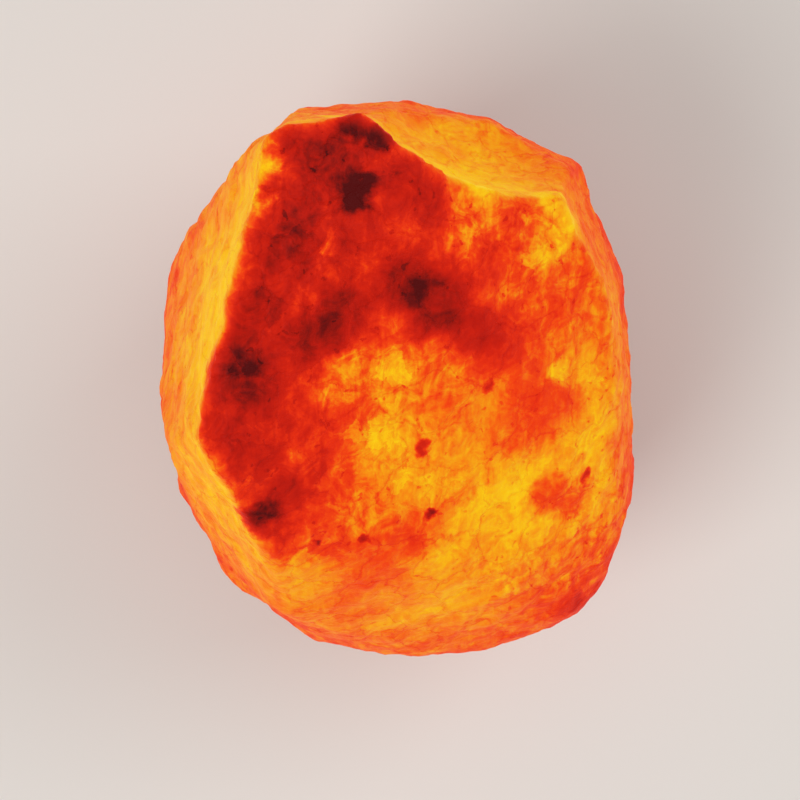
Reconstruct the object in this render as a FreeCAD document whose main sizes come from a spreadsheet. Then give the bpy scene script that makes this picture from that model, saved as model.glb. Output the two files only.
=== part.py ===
"""A salt crystal table lamp: a hewn lump of rock salt, bored from below, on a turned wooden base.

The lump stands on the base and is held by three wood screws. A small lampholder on a plate, with a spring
clip and a tubular filament lamp, pushes up into the bore from underneath. Millimetres, +Z up, the origin on
the table under the middle of the lump, -Y towards the front and +Y towards the cord channel.
"""

import FreeCAD
import Part

import math
import os
import re

import Sketcher
from FreeCAD import Placement, Rotation, Vector

# name, millimetres or degrees, what it is
SIZES = (
    ("crystal_width", 130.0, "lump, left to right"),
    ("crystal_depth", 153.5, "lump, front to back"),
    ("crystal_height", 160.0, "lump, from the sawn foot to its top ring"),
    ("sawn_foot_share", 0.80, "the flat sawn foot against the girth, a ratio"),
    ("side_relief", 2.2, "how far the hewn sides stand in or out"),
    ("bore_radius", 25.0, "hole bored up into the lump"),
    ("bore_depth", 88.0, "from the sawn foot to the roof of the bore"),
    ("crown_radius", 300.0, "curve of the long slope on top"),
    ("crown_slope", 25.0, "degrees that the long slope falls at its crest"),
    ("crown_heading", -32.0, "degrees, the way the slope falls, from +X towards +Y"),
    ("crown_drop", 5.0, "from the top ring down to the crest of the slope"),
    ("crest_left", 26.0, "crest of the slope, left of the middle"),
    ("crest_back", 30.7, "crest of the slope, behind the middle"),
    ("crown_facet", 23.0, "hewn facets of the slope, from corner to corner"),
    ("crown_relief", 1.2, "how far their corners stand in or out"),
    ("crown_spread", 90.0, "half the width of the blade that hews the slope"),
    ("crown_behind", 55.0, "that blade, behind the crest"),
    ("crown_ahead", 195.0, "that blade, ahead of the crest"),
    ("cleave_height", 112.0, "height above the sawn foot at which the setbacks are measured"),
    ("left_heading", 168.5, "degrees, the way the left cleaved face looks"),
    ("left_setback", 12.8, "left cleaved face, inside the girth"),
    ("left_lean", 18.0, "degrees that it leans in"),
    ("corner_heading", 218.5, "degrees, the way the front left cleaved face looks"),
    ("corner_setback", 14.4, "front left cleaved face, inside the girth"),
    ("corner_lean", 18.0, "degrees that it leans in"),
    ("front_heading", 284.0, "degrees, the way the front cleaved face looks"),
    ("front_setback", 33.2, "front cleaved face, inside the girth"),
    ("front_lean", 30.0, "degrees that it leans in"),
    ("flank_heading", 321.0, "degrees, the way the front right cleaved face looks"),
    ("flank_setback", 23.8, "front right cleaved face, inside the girth"),
    ("flank_lean", 30.0, "degrees that it leans in"),
    ("right_heading", 357.0, "degrees, the way the right cleaved face looks"),
    ("right_setback", 16.9, "right cleaved face, inside the girth"),
    ("right_lean", 17.0, "degrees that it leans in"),
    ("scoop_radius", 70.0, "hollow scooped out of the back right shoulder"),
    ("scoop_bite", 31.0, "how deep the hollow bites in"),
    ("scoop_heading", 72.0, "degrees, the way the hollow looks"),
    ("scoop_height", 140.0, "middle of the hollow, above the sawn foot"),
    ("foot_height", 3.0, "felt pads under the base"),
    ("foot_width", 12.0, "felt pads, square"),
    ("foot_circle", 46.0, "radius on which the pads sit"),
    ("base_radius", 56.0, "turned wooden base"),
    ("base_height", 22.0, "turned wooden base"),
    ("base_bevel", 3.0, "bevel round the top of the base"),
    ("base_hole", 22.0, "radius of the hole for the lampholder"),
    ("recess_radius", 33.0, "recess under the base"),
    ("recess_depth", 9.0, "recess under the base"),
    ("channel_width", 9.0, "channel for a cord, from the recess to the back"),
    ("channel_depth", 8.0, "channel for a cord"),
    ("screw_circle", 39.5, "radius on which the wood screws sit"),
    ("screw_radius", 2.0, "wood screw's shank"),
    ("screw_head", 3.8, "wood screw's pan head"),
    ("screw_head_height", 2.2, "wood screw's pan head"),
    ("screw_length", 38.0, "wood screw under its head"),
    ("screw_clearance", 0.3, "round the shank in the base"),
    ("seat_gap", 0.02, "between pieces that are pressed or screwed together"),
    ("plate_radius", 29.0, "pressed steel plate that closes the hole"),
    ("plate_thick", 1.0, "pressed steel plate"),
    ("nipple_radius", 5.0, "threaded tube that holds the lampholder on the plate"),
    ("nipple_bore", 3.6, "way for the wires up through the threaded tube"),
    ("nipple_above", 1.2, "threaded tube above the holder's floor"),
    ("nipple_below", 1.0, "threaded tube below its nut"),
    ("nut_flats", 14.0, "nut on the threaded tube, across its flats"),
    ("nut_height", 3.0, "nut on the threaded tube"),
    ("holder_radius", 14.6, "lampholder, outside"),
    ("sleeve_wall", 1.3, "upper half of the lampholder"),
    ("sleeve_bore", 11.2, "upper half of the lampholder, above the block"),
    ("sleeve_over", 1.2, "upper half above the rim of the lamp's cap"),
    ("cup_wall", 1.6, "lower half of the lampholder"),
    ("cup_height", 9.5, "lower half of the lampholder"),
    ("cup_foot", 1.5, "lower half left bare below the upper half"),
    ("block_height", 5.0, "ceramic block between the two halves"),
    ("block_gap", 0.15, "round the ceramic block"),
    ("shell_bore", 7.15, "screw shell, at the crests of its thread"),
    ("shell_wall", 0.35, "screw shell"),
    ("shell_height", 19.0, "screw shell"),
    ("slot_gap", 0.1, "round a tab in the ceramic block"),
    ("contact_width", 4.0, "centre contact strip"),
    ("contact_thick", 0.5, "centre contact strip"),
    ("contact_flat", 1.2, "flat of the strip on the block"),
    ("contact_crown", 1.5, "flat that meets the lamp's tip, half its length"),
    ("contact_rise", 3.4, "how far the strip springs up"),
    ("contact_tab", 5.0, "outer face of the strip's tab, from the axis"),
    ("tab_drop", 4.0, "tabs below the block"),
    ("terminal_width", 4.0, "brass terminals"),
    ("terminal_depth", 5.0, "brass terminals"),
    ("terminal_height", 5.0, "brass terminals"),
    ("terminal_bore", 1.0, "hole for a wire through a terminal"),
    ("terminal_screw", 1.2, "grub screw in a terminal"),
    ("clip_width", 8.0, "spring clip"),
    ("clip_thick", 0.5, "spring clip"),
    ("clip_eye", 9.0, "round eye of the clip about the threaded tube"),
    ("clip_bend", 1.0, "bend between the clip's foot and its legs"),
    ("clip_gap", 0.3, "between the clip's legs and the hole in the base"),
    ("clip_start", 0.6, "below the top of the base, where the legs lean out"),
    ("clip_hook", 1.4, "how far the elbows stand out over the base"),
    ("clip_elbow", 4.5, "elbows above the top of the base"),
    ("clip_tail", 6.0, "tails above the elbows"),
    ("clip_tail_in", 3.0, "how far the tails lean back in from the hole"),
    ("touch_gap", 0.05, "between the lamp's tip and its contact"),
    ("tip_radius", 2.4, "solder tip"),
    ("tip_height", 1.4, "solder tip"),
    ("insulator_height", 3.2, "black glass under the lamp's cap"),
    ("cap_radius", 7.0, "lamp's screw cap, over its thread"),
    ("cap_wall", 0.3, "lamp's screw cap"),
    ("cap_height", 17.0, "lamp's screw cap"),
    ("glass_radius", 11.0, "lamp's bulb"),
    ("glass_neck", 6.6, "lamp's bulb where the cap holds it"),
    ("glass_wall", 0.7, "lamp's bulb"),
    ("glass_height", 40.0, "lamp's bulb above its cap"),
    ("glass_collar", 2.0, "straight neck above the cap"),
    ("glass_shoulder", 7.0, "slope from the neck to the widest part"),
    ("glass_crown", 5.0, "slope round the top of the bulb"),
    ("glass_grip", 8.0, "neck inside the cap"),
    ("stem_radius", 2.6, "glass stem inside the bulb"),
    ("stem_flare", 5.8, "foot of the stem, sealed to the neck"),
    ("stem_height", 15.0, "glass stem above the cap's rim"),
    ("wire_radius", 0.3, "lead wires and supports"),
    ("wire_foot", 0.9, "where the wires leave the stem, from the axis"),
    ("filament_radius", 0.45, "coiled filament"),
    ("filament_span", 6.5, "arc of the filament"),
    ("filament_rise", 7.0, "filament above the stem"),
)

# The girth seen from above, as shares of half the width and half the depth, at even steps round from +X.
GIRTH_SHAPE = (
    0.975, 1.025, 1.06, 1.02, 1.00, 1.03, 1.03, 1.045,
    1.00, 1.015, 1.005, 1.005, 1.00, 1.07, 1.165, 1.082,
)

# Rings of the lump: share of its height, swell against the girth, and lean to +X and to +Y as shares of the
# half width and half depth.
LUMP_RINGS = (
    (0.00, None, 0.00, 0.00),
    (0.13, 0.94, 0.00, 0.00),
    (0.31, 1.00, 0.00, 0.00),
    (0.52, 0.92, -0.01, 0.01),
    (0.72, 0.83, -0.05, 0.00),
    (0.88, 0.68, -0.11, 0.09),
    (1.00, 0.55, -0.16, 0.16),
)
GIRTH_RING = 2

# Turns, in radians, that set the facets' corners in and out from one to the next without a pattern.
UNEVEN_TURNS = (2.4, 5.1)
FACET_SHIFT = 0.3

# Broad swells and hollows of the slope: middle as shares of the half width and half depth, then radius and
# rise as shares of the width.
CROWN_SWELLS = (
    (0.00, -0.17, 0.19, -0.024),
    (0.34, -0.50, 0.17, -0.020),
    (0.60, 0.03, 0.12, -0.014),
    (0.14, 0.25, 0.14, 0.022),
    (-0.20, 0.42, 0.12, 0.014),
    (-0.46, -0.12, 0.18, 0.012),
    (0.30, 0.42, 0.14, -0.012),
)

# Where the wires leave the stem, in degrees from +X: the filament hangs between the leads, over the front.
LEAD_ANGLES = (180, 360)
SUPPORT_ANGLES = (225, 270, 315)
FILAMENT_SIDES = 6

NAMES = tuple(row[0] for row in SIZES)

doc = FreeCAD.newDocument("salt_crystal_lamp")
sheet = doc.addObject("Spreadsheet::Sheet", "sizes")
for row, (alias, value, note) in enumerate(SIZES, start=1):
    sheet.set(f"A{row}", note)
    sheet.set(f"B{row}", str(value))
    sheet.setAlias(f"B{row}", alias)
doc.recompute()


def formula(text):
    """The text with each name of the sheet written as the sheet's own cell."""
    return re.sub(r"[a-z_]+", lambda word: "sizes." + word[0] if word[0] in NAMES else word[0], str(text))


def size(text):
    """What a formula on the sheet's names comes to, in millimetres or degrees."""
    return float(sheet.evalExpression(formula(text)))


def bind(thing, **sizes):
    for name, text in sizes.items():
        thing.setExpression(name, formula(text))
    return thing


def place(thing, x=0, y=0, z=0):
    """Puts a thing's own origin at three formulas."""
    for axis, text in zip("xyz", (x, y, z)):
        thing.setExpression(f".Placement.Base.{axis}", formula(text))
    return thing


def cylinder(name, radius, height, z, x=0, y=0):
    made = doc.addObject("Part::Cylinder", name)
    return place(bind(made, Radius=radius, Height=height), x, y, z)


def box(name, length, width, height, x, y, z):
    made = doc.addObject("Part::Box", name)
    return place(bind(made, Length=length, Width=width, Height=height), x, y, z)


def cut(name, base, tool):
    made = doc.addObject("Part::Cut", name)
    made.Base, made.Tool = base, tool
    return made


def fuse(name, *shapes):
    made = doc.addObject("Part::MultiFuse", name)
    made.Shapes = list(shapes)
    return made


def together(name, pieces):
    """Several separate solids as one sub-part."""
    made = doc.addObject("Part::Compound", name)
    made.Links = list(pieces)
    return made


def polar(radius, angle):
    """The two formulas of a spot on a circle about the axis, at an angle in degrees."""
    return f"{radius} * cos({angle})", f"{radius} * sin({angle})"


def outward(angle):
    """The level direction at an angle from +X."""
    return Vector(math.cos(math.radians(angle)), math.sin(math.radians(angle)), 0)


def origin_plane(body, role):
    return next(plane for plane in body.Origin.OriginFeatures if plane.Role == role)


def new_sketch(body, name, role):
    sketch = body.newObject("Sketcher::SketchObject", name)
    sketch.AttachmentSupport = (origin_plane(body, role), [""])
    sketch.MapMode = "FlatFace"
    return sketch


def arc_between(start, end, radius, hollow):
    """The short arc from start to end. It swells to the right of the way from start to end, or to the left
    if it is hollow. Returns the arc and whether it runs backwards."""
    half = (end - start) * 0.5
    across = Vector(-half.y, half.x, 0).normalize()
    rise = math.sqrt(max(radius**2 - half.Length**2, 0.0))
    centre = start + half + across * (-rise if hollow else rise)
    first, last = (end, start) if hollow else (start, end)
    circle = Part.Circle(centre, Vector(0, 0, 1), radius)
    angles = [math.atan2(p.y - centre.y, p.x - centre.x) for p in (first, last)]
    return Part.ArcOfCircle(circle, *angles), hollow


def hold(sketch, geometry, point, coordinate, text):
    """Ties one coordinate of a point to a formula, or puts it on the axis where the formula is 0."""
    if str(text) == "0":
        axis = -2 if coordinate == "DistanceX" else -1
        sketch.addConstraint(Sketcher.Constraint("PointOnObject", geometry, point, axis))
        return
    number = sketch.addConstraint(Sketcher.Constraint(coordinate, geometry, point, size(text)))
    sketch.setExpression(f"Constraints[{number}]", formula(text))


def draw(sketch, corners):
    """A closed outline. Each corner is its two formulas, and where the side that ends there is an arc, also
    that arc's radius and "round" or "hollow". The corners go round anticlockwise."""
    points = [Vector(size(corner[0]), size(corner[1]), 0) for corner in corners]
    ends = []
    for i, corner in enumerate(corners):
        start, end = points[i - 1], points[i]
        if len(corner) == 2:
            side, backwards = Part.LineSegment(start, end), False
        else:
            side, backwards = arc_between(start, end, size(corner[2]), corner[3] == "hollow")
        number = sketch.addGeometry(side, False)
        ends.append((number, 1 if backwards else 2, 2 if backwards else 1))
    for i, corner in enumerate(corners):
        here, after = ends[i], ends[(i + 1) % len(ends)]
        sketch.addConstraint(Sketcher.Constraint("Coincident", here[0], here[1], after[0], after[2]))
        hold(sketch, here[0], here[1], "DistanceX", corner[0])
        hold(sketch, here[0], here[1], "DistanceY", corner[1])
        if len(corner) > 2:
            number = sketch.addConstraint(Sketcher.Constraint("Radius", here[0], size(corner[2])))
            sketch.setExpression(f"Constraints[{number}]", formula(corner[2]))


def turned(name, corners):
    """A body turned about the upright axis from an outline of (radius, height) corners."""
    body = doc.addObject("PartDesign::Body", name)
    sketch = new_sketch(body, name + "_outline", "XZ_Plane")
    draw(sketch, corners)
    turn = body.newObject("PartDesign::Revolution", name + "_turn")
    turn.Profile = sketch
    turn.ReferenceAxis = (sketch, ["V_Axis"])
    turn.Angle = 360
    sketch.Visibility = False
    return body


def strip(name, corners, width):
    """A body of even width, half of it either side of the XZ plane, from an outline of (x, height)."""
    body = doc.addObject("PartDesign::Body", name)
    sketch = new_sketch(body, name + "_outline", "XZ_Plane")
    draw(sketch, corners)
    pad = body.newObject("PartDesign::Pad", name + "_pad")
    pad.Profile = sketch
    pad.Midplane = True
    pad.setExpression("Length", formula(width))
    sketch.Visibility = False
    return body


def facing(corner):
    """The corner's mirror image across the axis."""
    return f"-({corner[0]})", corner[1]


# Heights above the table that several pieces share.
BASE_TOP = "(foot_height + base_height)"
PLATE_TOP = "(foot_height + recess_depth)"
PLATE_BOTTOM = f"({PLATE_TOP} - plate_thick)"
CLIP_TOP = f"({PLATE_TOP} + clip_thick)"
CUP_TOP = f"({CLIP_TOP} + cup_height)"
CUP_FLOOR = f"({CLIP_TOP} + cup_wall)"
BLOCK_TOP = f"({CUP_TOP} + block_height)"
TIP_BOTTOM = f"({BLOCK_TOP} + contact_rise + touch_gap)"
TIP_TOP = f"({TIP_BOTTOM} + tip_height)"
CAP_BOTTOM = f"({TIP_TOP} + insulator_height)"
CAP_TOP = f"({CAP_BOTTOM} + cap_height)"
SLEEVE_TOP = f"({CAP_TOP} + sleeve_over)"
GLASS_BOTTOM = f"({CAP_TOP} - glass_grip)"
GLASS_TOP = f"({CAP_TOP} + glass_height)"
STEM_TOP = f"({CAP_TOP} + stem_height)"
FILAMENT = f"({STEM_TOP} + filament_rise)"

# Radii that several pieces share.
SLEEVE_INNER = "(holder_radius - sleeve_wall)"
CUP_OUTER = f"({SLEEVE_INNER} - seat_gap)"
CUP_INNER = f"({CUP_OUTER} - cup_wall)"
CLIP_LEG = "(sqrt(base_hole * base_hole - clip_width * clip_width / 4) - clip_gap)"

SCREW_ANGLES = (30, 150, 270)
FOOT_ANGLES = (45, 135, 225, 315)


# The lump of rock salt.

def uneven(i, j):
    """A share from -1 to 1 that jumps about from one corner of a rough surface to the next."""
    return math.sin(UNEVEN_TURNS[0] * i + UNEVEN_TURNS[1] * j)


def lump_ring(number):
    """One level ring round the lump, with a corner at each of the girth's points."""
    height_share, swell, lean_x, lean_y = LUMP_RINGS[number]
    swell = swell or size("sawn_foot_share")
    rough = number not in (0, GIRTH_RING, len(LUMP_RINGS) - 1)
    relief = size("side_relief") if rough else 0
    half_width, half_depth = size("crystal_width / 2"), size("crystal_depth / 2")
    middle = Vector(
        half_width * lean_x, half_depth * lean_y, size(f"{BASE_TOP} + {height_share} * crystal_height")
    )
    points = []
    for i, share in enumerate(GIRTH_SHAPE):
        way = outward(360 * i / len(GIRTH_SHAPE))
        spoke = Vector(half_width * way.x, half_depth * way.y, 0) * (swell * share)
        points.append(middle + spoke + way * (relief * uneven(i, number)))
    return points


def solid_of(outlines):
    """The solid that flat faces close, from the outline of each."""
    faces = [Part.Face(Part.makePolygon(list(outline) + [outline[0]])) for outline in outlines]
    solid = Part.makeSolid(Part.makeShell(faces))
    if solid.Volume < 0:
        solid.reverse()
    return solid


def split(corners, across):
    """The two triangles of a four-cornered facet, parted one way or the other."""
    a, b, c, d = corners
    return [(a, b, c), (a, c, d)] if across else [(a, b, d), (b, c, d)]


def make_lump():
    """The rough lump: triangular facets between its rings."""
    rings = [lump_ring(number) for number in range(len(LUMP_RINGS))]
    outlines = [rings[0], rings[-1]]
    for number, (lower, upper) in enumerate(zip(rings, rings[1:])):
        for i in range(len(lower)):
            outlines += split((lower[i - 1], lower[i], upper[i], upper[i - 1]), (i + number) % 2)
    lump = doc.addObject("Part::Feature", "lump")
    lump.Shape = solid_of(outlines)
    return lump


def cleaver(side):
    """A block that cleaves a flat face off one side of the lump."""
    heading = size(side + "_heading")
    turn = math.radians(heading)
    across, along = size("crystal_width / 2"), size("crystal_depth / 2")
    girth = 1 / math.hypot(math.cos(turn) / across, math.sin(turn) / along)
    block = doc.addObject("Part::Box", side + "_cleaver")
    bind(block, Length="2 * crystal_height", Width="2 * crystal_height", Height="2 * crystal_height")
    spin = Rotation(Vector(0, 0, 1), heading) * Rotation(Vector(0, 1, 0), -size(side + "_lean"))
    outward = Vector(math.cos(turn), math.sin(turn), 0)
    on_face = outward * (girth - size(side + "_setback"))
    on_face.z = size(f"{BASE_TOP} + cleave_height")
    middle = Vector(0, size("crystal_height"), size("crystal_height"))
    block.Placement = Placement(on_face - spin.multVec(middle), spin)
    return block


def swell_at(point):
    """How far the slope's broad swells raise it at a point."""
    rise = 0
    for x, y, radius, height in CROWN_SWELLS:
        middle = Vector(size(f"{x} * crystal_width / 2"), size(f"{y} * crystal_depth / 2"), point.z)
        share = point.distanceToPoint(middle) / size(f"{radius} * crystal_width")
        rise += size(f"{height} * crystal_width") * math.cos(math.pi / 2 * min(share, 1.0)) ** 2
    return rise


def crown_points():
    """Rows of uneven points on a great ball under its top, the long slope, and the same rows well above it."""
    slope, level = math.radians(size("crown_slope")), outward(size("crown_heading"))
    up = level * math.sin(slope) + Vector(0, 0, math.cos(slope))
    ahead = level * math.cos(slope) - Vector(0, 0, math.sin(slope))
    aside = up.cross(ahead)
    radius, step = size("crown_radius"), size("crown_facet")
    crest = Vector(-size("crest_left"), size("crest_back"), size(f"{BASE_TOP} + crystal_height - crown_drop"))
    middle = crest - up * radius
    under, over = [], []
    for i in range(1 + math.ceil(size("(crown_behind + crown_ahead) / crown_facet"))):
        under.append([])
        over.append([])
        for j in range(1 + math.ceil(size("2 * crown_spread / crown_facet"))):
            forward = (i + FACET_SHIFT * uneven(j, i)) * step - size("crown_behind")
            sideways = (j + FACET_SHIFT * uneven(i, j)) * step - size("crown_spread")
            way = (up * radius + ahead * forward + aside * sideways).normalize()
            spot = middle + way * radius
            rise = swell_at(spot) + size("crown_relief") * uneven(2 * i, 3 * j)
            under[i].append(spot + way * rise)
            over[i].append(spot + way * size("crystal_height"))
    return under, over


def rim(rows):
    """The points round the outside of rows of points, in order."""
    return rows[0] + [row[-1] for row in rows[1:]] + rows[-1][-2::-1] + [row[0] for row in rows[-2:0:-1]]


def make_crown():
    """The thick blade that hews the long slope, with a faceted underside."""
    under, over = crown_points()
    outlines = []
    for rows in (under, over):
        for i, (row, after) in enumerate(zip(rows, rows[1:])):
            for j in range(len(row) - 1):
                outlines += split((row[j], after[j], after[j + 1], row[j + 1]), (i + j) % 2)
    low, high = rim(under), rim(over)
    for i in range(len(low)):
        outlines += split((low[i - 1], low[i], high[i], high[i - 1]), True)
    crown = doc.addObject("Part::Feature", "crown_blade")
    crown.Shape = solid_of(outlines)
    return crown


def make_scoop():
    """A ball that bites the hollow shoulder out of the lump."""
    scoop = bind(doc.addObject("Part::Sphere", "shoulder_scoop"), Radius="scoop_radius")
    reach = "(crystal_depth / 2 + scoop_radius - scoop_bite)"
    x, y = f"{reach} * cos(scoop_heading)", f"{reach} * sin(scoop_heading)"
    return place(scoop, x, y, f"{BASE_TOP} + scoop_height")


def make_crystal():
    rock = cut("crowned_lump", make_lump(), make_crown())
    for side in ("left", "corner", "front", "flank", "right"):
        rock = cut("lump_cleaved_" + side, rock, cleaver(side))
    rock = cut("hewn_lump", rock, make_scoop())
    run_out = "base_height / 2"
    bore = cylinder("bore", "bore_radius", f"bore_depth + {run_out}", f"{BASE_TOP} - {run_out}")
    depth = "screw_length + seat_gap - base_height"
    pilots = [
        cylinder(
            f"pilot_hole_{angle}", "screw_radius + seat_gap", depth, BASE_TOP, *polar("screw_circle", angle)
        )
        for angle in SCREW_ANGLES
    ]
    cut("salt_crystal", rock, fuse("crystal_holes", bore, *pilots))


# The wooden base, its pads and its screws.

def make_base():
    blank = turned("base_blank", (
        ("recess_radius", "foot_height"),
        ("base_radius", "foot_height"),
        ("base_radius", f"{BASE_TOP} - base_bevel"),
        ("base_radius - base_bevel", BASE_TOP),
        ("base_hole", BASE_TOP),
        ("base_hole", PLATE_TOP),
        ("recess_radius", PLATE_TOP),
    ))
    channel = box(
        "cord_channel", "channel_width", "base_radius", "channel_depth + foot_height",
        "-channel_width / 2", "recess_radius - channel_width", "0",
    )
    screw_ways = [
        cylinder(
            f"screw_way_{angle}", "screw_radius + screw_clearance", f"2 * {BASE_TOP}", "0",
            *polar("screw_circle", angle),
        )
        for angle in SCREW_ANGLES
    ]
    cut("wooden_base", blank, fuse("base_holes", channel, *screw_ways))


def make_feet():
    pads = []
    for angle in FOOT_ANGLES:
        x, y = polar("foot_circle", angle)
        pads.append(box(
            f"foot_pad_{angle}", "foot_width", "foot_width", "foot_height",
            f"{x} - foot_width / 2", f"{y} - foot_width / 2", "0",
        ))
    together("foot_pads", pads)


def make_screws():
    screws = []
    for angle in SCREW_ANGLES:
        screw = turned(f"base_screw_{angle}", (
            ("0", "-screw_head_height"),
            ("screw_head", "-screw_head_height"),
            ("screw_head", "0"),
            ("screw_radius", "0"),
            ("screw_radius", "screw_length"),
            ("0", "screw_length"),
        ))
        screws.append(place(screw, *polar("screw_circle", angle), "foot_height"))
    together("base_screws", screws)


# The plate that closes the hole, and the spring clip on it.

def make_plate():
    disc = cylinder("plate_blank", "plate_radius", "plate_thick", PLATE_BOTTOM)
    cut("holder_plate", disc, nipple_way)


def make_clip():
    """A strip that lies across the plate, with two legs that hook over the top of the base."""
    bend = ("clip_bend", "round")
    inner_bend = ("clip_bend - clip_thick", "hollow")
    heel = (f"{CLIP_LEG} - clip_bend", PLATE_TOP)
    leg = (CLIP_LEG, f"{PLATE_TOP} + clip_bend")
    outer = (
        (CLIP_LEG, f"{BASE_TOP} - clip_start"),
        ("base_hole + clip_hook", f"{BASE_TOP} + clip_elbow"),
        ("base_hole - clip_tail_in", f"{BASE_TOP} + clip_elbow + clip_tail"),
    )
    inner = tuple((f"{reach} - clip_thick", height) for reach, height in outer)
    inner_leg = (f"{leg[0]} - clip_thick", leg[1])
    inner_heel = (heel[0], f"{heel[1]} + clip_thick")
    legs = strip("clip_legs", (
        heel, (*leg, *bend), *outer, *reversed(inner), inner_leg, (*inner_heel, *inner_bend),
        facing(inner_heel), (*facing(inner_leg), *inner_bend), *map(facing, inner),
        *map(facing, reversed(outer)), facing(leg), (*facing(heel), *bend),
    ), "clip_width")
    eye = cylinder("clip_eye", "clip_eye", "clip_thick", PLATE_TOP)
    cut("spring_clip", fuse("clip_blank", legs, eye), nipple_way)


# The lampholder.

def make_nipple():
    bottom = f"{PLATE_BOTTOM} - nut_height - nipple_below"
    top = f"{CUP_FLOOR} + nipple_above"
    turned("threaded_nipple", (
        ("nipple_bore", bottom), ("nipple_radius", bottom), ("nipple_radius", top), ("nipple_bore", top),
    ))


def make_nut():
    blank = bind(
        doc.addObject("Part::Prism", "nut_blank"), Circumradius="nut_flats / 2 / cos(30)", Height="nut_height"
    )
    place(blank, z=f"{PLATE_BOTTOM} - nut_height")
    cut("nipple_nut", blank, nipple_way)


def make_cup():
    hole = "nipple_radius + seat_gap"
    turned("holder_cup", (
        (hole, CLIP_TOP), (CUP_OUTER, CLIP_TOP), (CUP_OUTER, CUP_TOP),
        (CUP_INNER, CUP_TOP), (CUP_INNER, CUP_FLOOR), (hole, CUP_FLOOR),
    ))


def make_sleeve():
    """It screws down over the cup and holds the ceramic block between them."""
    bottom = f"{CLIP_TOP} + cup_foot"
    turned("holder_sleeve", (
        (SLEEVE_INNER, bottom), ("holder_radius", bottom), ("holder_radius", SLEEVE_TOP),
        ("sleeve_bore", SLEEVE_TOP), ("sleeve_bore", BLOCK_TOP), (SLEEVE_INNER, BLOCK_TOP),
    ))


def tab_slot(name, reach, width, thick):
    """A slot through the ceramic block for a tab whose inner face is at reach."""
    return box(
        name, f"{thick} + 2 * slot_gap", f"{width} + 2 * slot_gap", f"2 * {BLOCK_TOP}",
        f"{reach} - slot_gap", f"-{width} / 2 - slot_gap", "0",
    )


def make_block():
    blank = cylinder("block_blank", f"{SLEEVE_INNER} - block_gap", "block_height", CUP_TOP)
    slots = (
        tab_slot("contact_slot", "contact_tab - contact_thick", "contact_width", "contact_thick"),
        tab_slot("shell_slot", "-shell_bore - shell_wall", "contact_width", "shell_wall"),
    )
    cut("contact_block", blank, fuse("block_slots", *slots))


def make_shell():
    """A brass tube with one tab that passes down through the block to its terminal."""
    outer = cylinder("shell_outer", "shell_bore + shell_wall", "shell_height", BLOCK_TOP)
    tube = cut("shell_tube", outer, cylinder("shell_inside", "shell_bore", "2 * shell_height", BLOCK_TOP))
    tab = box(
        "shell_tab", "shell_wall", "contact_width", "block_height + tab_drop + shell_wall",
        "-shell_bore - shell_wall", "-contact_width / 2", f"{CUP_TOP} - tab_drop",
    )
    fuse("screw_shell", tube, tab)


def make_contact():
    """A strip that springs up under the lamp's tip, with a tab down through the block to its terminal."""
    crown = f"{BLOCK_TOP} + contact_rise - contact_thick"
    inner_tab = "contact_tab - contact_thick"
    under = (
        ("-2 * contact_crown", f"{crown} - contact_crown"),
        ("-contact_crown", crown),
        ("contact_crown", crown),
        (f"{inner_tab} - contact_flat", BLOCK_TOP),
    )
    over = [(reach, f"{height} + contact_thick") for reach, height in reversed(under)]
    tab = (
        (inner_tab, BLOCK_TOP),
        (inner_tab, f"{CUP_TOP} - tab_drop"),
        ("contact_tab", f"{CUP_TOP} - tab_drop"),
        ("contact_tab", f"{BLOCK_TOP} + contact_thick"),
    )
    strip("centre_contact", (*under, *tab, *over), "contact_width")


def make_terminals():
    """Brass blocks against the two tabs: each has a way through for a wire and a grub screw from below."""
    bottom = f"({CUP_TOP} - terminal_height)"
    blanks, holes, screws = [], [], []
    for name, reach in (("centre", "contact_tab"), ("side", "-shell_bore")):
        blanks.append(box(
            name + "_terminal", "terminal_width", "terminal_depth", "terminal_height",
            reach, "-terminal_depth / 2", bottom,
        ))
        middle = f"{reach} + terminal_width / 2"
        wire_way = cylinder(
            name + "_wire_way", "terminal_bore", "2 * terminal_depth",
            f"{CUP_TOP} - 2 * terminal_bore", middle, "terminal_depth",
        )
        wire_way.Placement.Rotation = Rotation(Vector(1, 0, 0), 90)
        grub_way = cylinder(
            name + "_grub_way", "terminal_screw + seat_gap", "terminal_height - 2 * terminal_bore",
            bottom, middle,
        )
        holes += [wire_way, grub_way]
        length = "terminal_height - 3 * terminal_bore"
        screws.append(cylinder(name + "_grub", "terminal_screw", length, bottom, middle))
    cut("terminal_blocks", together("terminal_blanks", blanks), fuse("terminal_holes", *holes))
    together("terminal_screws", screws)


# The lamp.

def make_tip():
    cylinder("lamp_tip", "tip_radius", "tip_height", TIP_BOTTOM)


def make_insulator():
    turned("lamp_insulator", (
        ("0", TIP_TOP), ("tip_radius", TIP_TOP), ("cap_radius - cap_wall / 2", CAP_BOTTOM), ("0", CAP_BOTTOM),
    ))


def make_cap():
    tube = cylinder("cap_outer", "cap_radius", "cap_height", CAP_BOTTOM)
    cut("lamp_cap", tube, cylinder("cap_inside", "cap_radius - cap_wall", "2 * cap_height", CAP_BOTTOM))


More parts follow.
